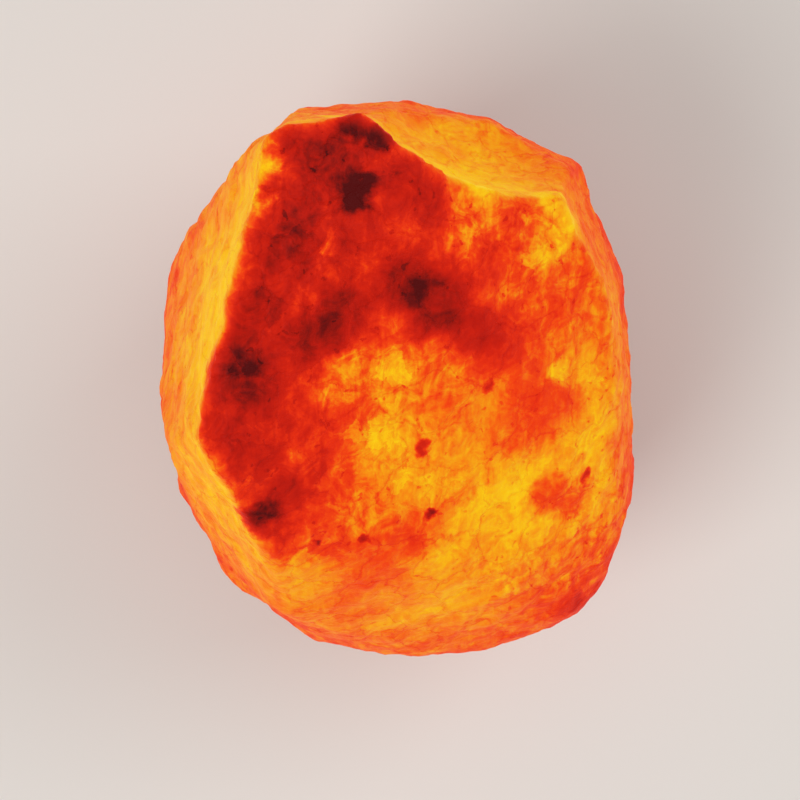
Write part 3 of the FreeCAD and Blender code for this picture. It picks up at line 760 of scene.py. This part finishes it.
def rough(piece, texture, size, height, **settings):
    """Moves the surface along its normals by a cloud texture."""
    cloud = bpy.data.textures.new(f"{piece.name}_{texture.lower()}_{size:g}", texture)
    cloud.noise_scale = size * MM
    for name, value in settings.items():
        setattr(cloud, name, value)
    modify(piece, "DISPLACE", texture=cloud, strength=height * MM, mid_level=0.5, texture_coords="LOCAL")


def fit(piece, node):
    """Stretches the piece until its box is the node's."""
    low, high = (np.array(corner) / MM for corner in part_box(node))
    places = points(piece)
    mine_low, mine_high = places.min(0), places.max(0)
    put(piece, low + (places - mine_low) * (high - low) / (mine_high - mine_low))


def lump():
    """The hewn lump: its plain mesh without its holes, remeshed finely, roughened, and bored again."""
    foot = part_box("salt_crystal")[0].z / MM
    pilots = [round_spot(SCREW_CIRCLE, angle) for angle in SCREW_ANGLES]

    def in_hole(middle):
        if middle.z < foot + FOOT_SLACK:
            return False
        if math.hypot(middle.x, middle.y) < BORE_RADIUS + HOLE_SLACK and middle.z < BORE_ROOF + HOLE_SLACK:
            return True
        near = min(math.hypot(middle.x - x, middle.y - y) for x, y, _ in pilots)
        return near < PILOT_RADIUS + HOLE_SLACK and middle.z < PILOT_ROOF + HOLE_SLACK

    piece = copy_of("salt_crystal", "salt_lump")
    pick_faces(piece, in_hole)
    bpy.ops.mesh.delete(type="FACE")
    bpy.ops.mesh.select_all(action="SELECT")
    bpy.ops.mesh.fill_holes(sides=0)
    done()
    pick_faces(piece, lambda middle: middle.z < foot + FOOT_SLACK)
    bpy.ops.transform.translate(value=mm(0, 0, -SPARE_BELOW))
    done()
    modify(piece, "REMESH", mode="VOXEL", voxel_size=LUMP_VOXEL * MM)
    modify(piece, "SMOOTH", factor=0.5, iterations=LUMP_MELT)

    places = points(piece).astype(float)
    softness = np.clip((SOFT_FROM - places[:, 1]) / SOFT_OVER, 0, 1)
    softness *= np.clip((places[:, 0] - SHARP_LEFT) / SHARP_OVER, 0, 1)
    # Faces turned away from the slope are noted as sides: the salt's paint gives them the rim's thin depth, a
    # painted brighter glow.
    along_slope = normals(piece).astype(float) @ np.array(SLOPE_LOOKS)
    side = 1.0 - np.clip((along_slope - SLOPE_ENDS) / (SLOPE_FULL - SLOPE_ENDS), 0, 1)
    note(piece, "side", evened(piece, side, PAINT_BLUR, 0.1 + 0.9 * softness))
    put(piece, np.stack([evened(piece, axis, ROUNDING, softness) for axis in places.T], axis=1))

    rough(piece, "CLOUDS", 13, 2.0, noise_depth=2)
    rough(piece, "VORONOI", 9, 1.1)
    rough(piece, "CLOUDS", 4, 1.0, noise_depth=3)
    editing(piece)
    bpy.ops.mesh.bisect(plane_co=mm(0, 0, foot), plane_no=UP, use_fill=True, clear_inner=True)
    done()
    fit(piece, "salt_crystal")
    cut_by(piece, rod("bore", BORE_RADIUS, foot - SPARE_BELOW, BORE_ROOF, steps=96))
    for x, y, _ in pilots:
        cut_by(piece, moved(rod("pilot", PILOT_RADIUS, foot - SPARE_BELOW, PILOT_ROOF, steps=24), x, y))
    finish(piece, "lamp_body", "salt", "salt_crystal", smooth_under=50)


# The base and what it stands on.

def base():
    """A turned ring with eased edges, a recess below, a channel at the back and three screw holes."""
    piece = turned("turned_base", ring_of(
        (33.6, 3.0), (55.3, 3.0), (55.8, 3.2), (56.0, 3.7), (56.0, 21.2), (55.8, 22.2), (55.2, 23.2),
        (54.2, 24.2), (53.2, 24.8), (52.0, 25.0), (22.6, 25.0), (22.2, 24.8), (22.0, 24.4), (22.0, 12.0),
        (33.0, 12.0), (33.0, 3.6),
    ), steps=128)
    channel_low = (-CHANNEL_HALF, CHANNEL_FROM, 0.0)
    channel_high = (CHANNEL_HALF, CHANNEL_TO, CHANNEL_ROOF)
    cut_by(piece, block("channel", channel_low, channel_high))
    for angle in SCREW_ANGLES:
        x, y, _ = round_spot(SCREW_CIRCLE, angle)
        cut_by(piece, moved(rod("screw_way", SCREW_WAY_RADIUS, 0, SCREW_WAY_TOP, steps=32), x, y))
    finish(piece, "lamp_body", "wood", "wooden_base")


def pads():
    """Four felt squares with crumpled edges."""
    half = PAD_WIDTH / 2
    first = block("pad", (-half, -half, 0), (half, half, PAD_HEIGHT))
    bevel_edges(first, 0.7, 2)
    editing(first)
    bpy.ops.mesh.subdivide(number_cuts=5)
    done()
    rough(first, "CLOUDS", 0.9, 0.3, noise_depth=2)
    pieces = []
    for angle in (45, 135, 225, 315):
        x, y, _ = round_spot(PAD_CIRCLE, angle)
        pieces.append(moved(another(first, "pad"), x, y))
    bpy.data.objects.remove(first)
    piece = joined("felt_pads", pieces)
    fit(piece, "foot_pads")
    finish(piece, "lamp_body", "felt", "foot_pads", smooth_under=60)


def screws():
    """Three pan-head wood screws with a cross recess and a thread up to the point."""
    first = turned("screw", (
        (0, 0.8), (2.4, 0.85), (3.3, 1.2), (3.7, 1.8), (3.8, 2.4), (3.8, 3.0), (2.0, 3.0),
        *rings(2.0, 10.0, 38.5, 0.22), (1.2, 39.8), (0, 41.0),
    ), steps=24)
    threaded(first, 1.3, 10.0, 39.5, 1.6, 0.55)
    for x, y in ((CROSS_LENGTH, CROSS_WIDTH), (CROSS_WIDTH, CROSS_LENGTH)):
        cut_by(first, block("recess", (-x, -y, 0), (x, y, CROSS_DEPTH)))
    pieces = []
    for angle in SCREW_ANGLES:
        x, y, _ = round_spot(SCREW_CIRCLE, angle)
        pieces.append(moved(another(first, "screw"), x, y, turn=angle * 1.7))
    bpy.data.objects.remove(first)
    finish(joined("wood_screws", pieces), "lamp_body", "zinc_steel", "base_screws")


# The plate and the lampholder on it.

def plate():
    """A pressed disc with a stiffening bead."""
    piece = turned("pressed_plate", ring_of(
        (NIPPLE_HOLE, 11.0), (19.6, 11.0), (20.6, 10.8), (21.4, 10.5), (22.6, 10.5), (23.4, 10.8),
        (24.4, 11.0), (28.7, 11.0), (29.0, 11.3), (29.0, 11.7), (28.7, 12.0), (24.8, 12.0), (23.8, 11.75),
        (22.8, 11.4), (21.2, 11.4), (20.2, 11.75), (19.2, 12.0), (NIPPLE_HOLE, 12.0),
    ), steps=96)
    finish(piece, "holder", "zinc_steel", "holder_plate")


def nipple():
    piece = turned("threaded_tube", ring_of(
        (3.6, 7.0), (4.55, 7.0), *rings(5.0, 7.5, 14.8, 0.125), (4.55, 15.3), (3.6, 15.3),
    ), steps=36)
    threaded(piece, 4.6, 7.3, 15.0, 1.0, 0.5, run_out=0.6)
    finish(piece, "holder", "zinc_steel", "threaded_nipple", smooth_under=50)


def nut():
    """A hexagon chamfered at both ends."""
    corner = NUT_ACROSS / 2 / math.cos(math.radians(30))
    piece = rod("hex_nut", corner, NUT_LOW, NUT_HIGH, steps=6)
    edge = turned("chamfer", (
        (0, NUT_LOW), (7.1, NUT_LOW), (8.3, 8.7), (8.3, 10.3), (7.1, NUT_HIGH), (0, NUT_HIGH),
    ))
    cut_by(piece, edge, "INTERSECT")
    way = turned("way", ((0, 7.5), (5.7, 7.5), (NIPPLE_HOLE, 8.6), (NIPPLE_HOLE, 11.5), (0, 11.5)))
    cut_by(piece, way)
    finish(piece, "holder", "zinc_steel", "nipple_nut")


def cup():
    piece = turned("lower_half", ring_of(
        (NIPPLE_HOLE, 12.5), (12.5, 12.5), (13.0, 12.7), (13.28, 13.2), (13.28, 22.0), (11.68, 22.0),
        (11.68, 14.6), (11.2, 14.1), (NIPPLE_HOLE, 14.1),
    ), steps=72)
    finish(piece, "holder", "black_plastic", "holder_cup")


def fluted(piece, low, high, outside, depth):
    """Upright grip flutes round the outside, from low to high."""
    def flute(radius, angle, height):
        fade = np.clip(np.minimum(height - low, high - height) / 1.2, 0, 1)
        wave = np.clip(np.cos(GRIP_FLUTES * angle), 0, 1) ** 1.5
        return np.where(radius > outside, -depth * wave * fade, 0.0)
    swell(piece, flute)


def sleeve():
    piece = turned("upper_half", ring_of(
        (13.3, 14.0), (14.2, 14.0), (14.5, 14.2), *rings(14.6, 14.6, 31.0, 0.8), (14.6, 52.2), (14.4, 52.9),
        (13.9, 53.25), (11.6, 53.25), (11.3, 53.1), (11.2, 52.8), (11.2, 27.0), (13.3, 27.0),
    ), steps=144)
    fluted(piece, 15.6, 30.0, 14.55, 0.55)
    finish(piece, "holder", "black_plastic", "holder_sleeve")


def shell():
    """A rolled thread with a tab down through the porcelain."""
    outside = rings(SHELL_OUTSIDE, SHELL_LOW, SHELL_HIGH, THREAD_STEP)
    inside = rings(SHELL_INSIDE, SHELL_LOW, SHELL_HIGH, THREAD_STEP)
    tube = turned("rolled_shell", ring_of(*outside, *reversed(inside)))
    threaded(tube, 0.0, 28.5, 45.2, CAP_PITCH, 0.12)
    tab = block("shell_tab", (-SHELL_OUTSIDE, -2.0, 18.0), (-SHELL_INSIDE, 2.0, 27.4))
    bevel_edges(tab, 0.06, 1)
    finish(joined("rolled_shell", [tube, tab]), "holder", "brass", "screw_shell", smooth_under=50)


def grubs():
    """A slotted grub screw up into each terminal."""
    outline = ((0, 17.0), (0.95, 17.0), (1.2, 17.25), (1.2, 18.8), (1.0, 19.0), (0, 19.0))
    first = turned("grub", outline, steps=20)
    cut_by(first, block("slot", (-2, -0.18, 16.5), (2, 0.18, 17.6)))
    pieces = [moved(another(first, "grub"), x=x, turn=turn) for x, turn in ((7.0, 25), (-5.15, 70))]
    bpy.data.objects.remove(first)
    finish(joined("slotted_grubs", pieces), "holder", "zinc_steel", "terminal_screws")


# The lamp.

def tip():
    outline = ((0, 30.45), (0.9, 30.5), (1.6, 30.7), (2.1, 31.1), (2.4, 31.6), (2.35, 31.85), (0, 31.85))
    piece = turned("solder_dome", outline, steps=32)
    rough(piece, "CLOUDS", 1.6, 0.12)
    fit(piece, "lamp_tip")
    finish(piece, "bulb", "solder", "lamp_tip", smooth_under=60)


def cap():
    """A thin rolled thread, with a plain collar above it that holds the glass."""
    outside = rings(CAP_OUTSIDE, CAP_LOW, CAP_THREAD_TOP, THREAD_STEP)
    inside = rings(CAP_INSIDE, CAP_LOW, CAP_THREAD_TOP, THREAD_STEP)
    piece = turned("rolled_cap", ring_of(
        *outside, (CAP_OUTSIDE, 47.0), (6.9, 47.4), (6.9, 51.4), (CAP_OUTSIDE, 51.7), (CAP_OUTSIDE, 52.05),
        (CAP_INSIDE, 52.05), (CAP_INSIDE, 51.7), (6.62, 51.4), (6.62, 47.4), (CAP_INSIDE, 47.0),
        *reversed(inside),
    ))
    threaded(piece, 0.0, 35.3, 45.6, CAP_PITCH, 0.5, run_out=0.7)
    finish(piece, "bulb", "nickel_brass", "lamp_cap", smooth_under=50)


def bulb_outline(inset):
    """The lamp's glass from its neck to its pole: straight, then out in a shoulder to a long rounded body."""
    outline = [(GLASS_NECK - inset, GLASS_BOTTOM)]
    for i in range(SHOULDER_STEPS + 1):
        share = i / SHOULDER_STEPS
        eased = share * share * (3 - 2 * share)
        height = GLASS_COLLAR + (GLASS_SHOULDER - GLASS_COLLAR) * share
        outline.append((GLASS_NECK + (GLASS_RADIUS - GLASS_NECK) * eased - inset, height))
    dome = GLASS_RADIUS - inset
    for i in range(DOME_STEPS + 1):
        turn = math.pi / 2 * i / DOME_STEPS
        outline.append((dome * math.cos(turn), GLASS_DOME + dome * math.sin(turn)))
    outline[-1] = (0, outline[-1][1])
    return outline


def glass():
    outline = [*reversed(bulb_outline(0)), *bulb_outline(GLASS_WALL)]
    finish(turned("blown_glass", outline, steps=64), "bulb", "clear_glass", "lamp_glass", smooth_under=60)


def stem():
    piece = turned("glass_stem", (
        (0, GLASS_BOTTOM), (5.4, GLASS_BOTTOM), (5.8, 44.3), (5.7, 44.9), (5.0, 45.8), (4.1, 47.2),
        (3.3, 49.6), (2.8, 52.6), (2.6, 56.0), (2.6, 62.0), (2.5, 65.2), (2.2, 66.4), (1.5, 66.95),
        (0, 67.05),
    ), steps=32)
    finish(piece, "bulb", "clear_glass", "lamp_stem", smooth_under=60)


def hooked_wires(name, angles, node):
    """Wires that rise from the stem, lean out and hook round the filament."""
    pieces = []
    for angle in angles:
        corners = (
            round_spot(0.9, angle, 66.2), round_spot(0.95, angle, 68.6), round_spot(5.6, angle, 72.6),
            round_spot(FILAMENT_SPAN, angle, 73.5), round_spot(FILAMENT_SPAN + 0.3, angle, 74.1),
        )
        pieces.append(wire_through("hooked_wire", rounded_way(corners, 0.6), 0.2))
    finish(joined(name, pieces), "bulb", "wire", node, smooth_under=60)


def filament():
    """A fine coil that runs round from one lead to the other."""
    places = []
    count = COIL_TURNS * COIL_STEPS
    first, last = LEAD_ANGLES
    for i in range(count + 1):
        angle = first + (last - first) * i / count
        turn = 2 * math.pi * i / COIL_STEPS
        sag = 0.25 * math.sin(math.radians((angle - first) * 4)) ** 2
        places.append(round_spot(
            FILAMENT_SPAN + COIL_RADIUS * math.cos(turn), angle,
            FILAMENT_HEIGHT + COIL_RADIUS * math.sin(turn) - sag,
        ))
    finish(wire_through("coiled_filament", places, 0.07, 4), "bulb", "tungsten", "filament", smooth_under=80)


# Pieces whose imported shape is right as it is.
PLAIN_NODES = {
    "spring_clip": "spring_steel",
    "contact_block": "porcelain",
    "centre_contact": "brass",
    "terminal_blocks": "brass",
    "lamp_insulator": "black_glass",
}


def dress_plain_nodes():
    for node, slot in PLAIN_NODES.items():
        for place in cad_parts[node].material_slots:
            place.material = PAINTS[slot].material


# The stage.

def floor():
    """A plain pale floor. Seen from below it is clear, so that the underside of the lamp shows."""
    sheet = added("floor", bpy.ops.mesh.primitive_plane_add, size=FLOOR_SIZE)
    paint = Paint("pale_floor", Base_Color=colour(226, 222, 216), Roughness=0.8)
    clear = paint.node("ShaderNodeBsdfTransparent")
    below = paint.node("ShaderNodeNewGeometry", out="Backfacing")
    lit = Link(paint, paint.surface.outputs[0])
    both = paint.node("ShaderNodeMixShader", sockets={0: below, 1: lit, 2: clear})
    paint.links.new(both.socket, paint.nodes["Material Output"].inputs["Surface"])
    sheet.data.materials.append(paint.material)


def light_over(name, place, power, size):
    """A soft square light that looks at the lump. Its place and size are in metres."""
    light = bpy.data.lights.new(name, "AREA")
    light.energy = power
    light.size = size
    thing = bpy.data.objects.new(name, light)
    thing.location = place
    thing.rotation_euler = (mm(0, 0, GIRTH_HEIGHT) - thing.location).to_track_quat("-Z", "Y").to_euler()
    bpy.context.scene.collection.objects.link(thing)


def studio():
    world = bpy.data.worlds.new("studio")
    world.use_nodes = True
    sky = world.node_tree.nodes["Background"]
    sky.inputs["Color"].default_value = (1, 1, 1, 1)
    sky.inputs["Strength"].default_value = SKY_STRENGTH
    bpy.context.scene.world = world
    light_over("key_light", (-0.9, -0.7, 1.3), power=14, size=0.9)
    light_over("fill_light", (1.0, 0.5, 1.1), power=7, size=1.0)


def camera():
    lens = bpy.data.cameras.new("camera")
    lens.sensor_width = SENSOR
    lens.lens = SENSOR * (CAMERA_HEIGHT - GIRTH_HEIGHT) / PICTURE_WIDTH
    lens.clip_start = 0.01
    eye = bpy.data.objects.new("camera", lens)
    eye.location = mm(CAMERA_ASIDE, -CAMERA_FORWARD, CAMERA_HEIGHT)
    bpy.context.scene.collection.objects.link(eye)
    bpy.context.scene.camera = eye


for make in (
    lump, base, pads, screws, plate, nipple, nut, cup, sleeve, shell, grubs, tip, cap, glass, stem,
):
    make()
hooked_wires("lead_hooks", LEAD_ANGLES, "lead_wires")
hooked_wires("support_hooks", SUPPORT_ANGLES, "filament_supports")
filament()
dress_plain_nodes()
floor()
studio()
camera()
bpy.context.scene.view_settings.view_transform = "Standard"
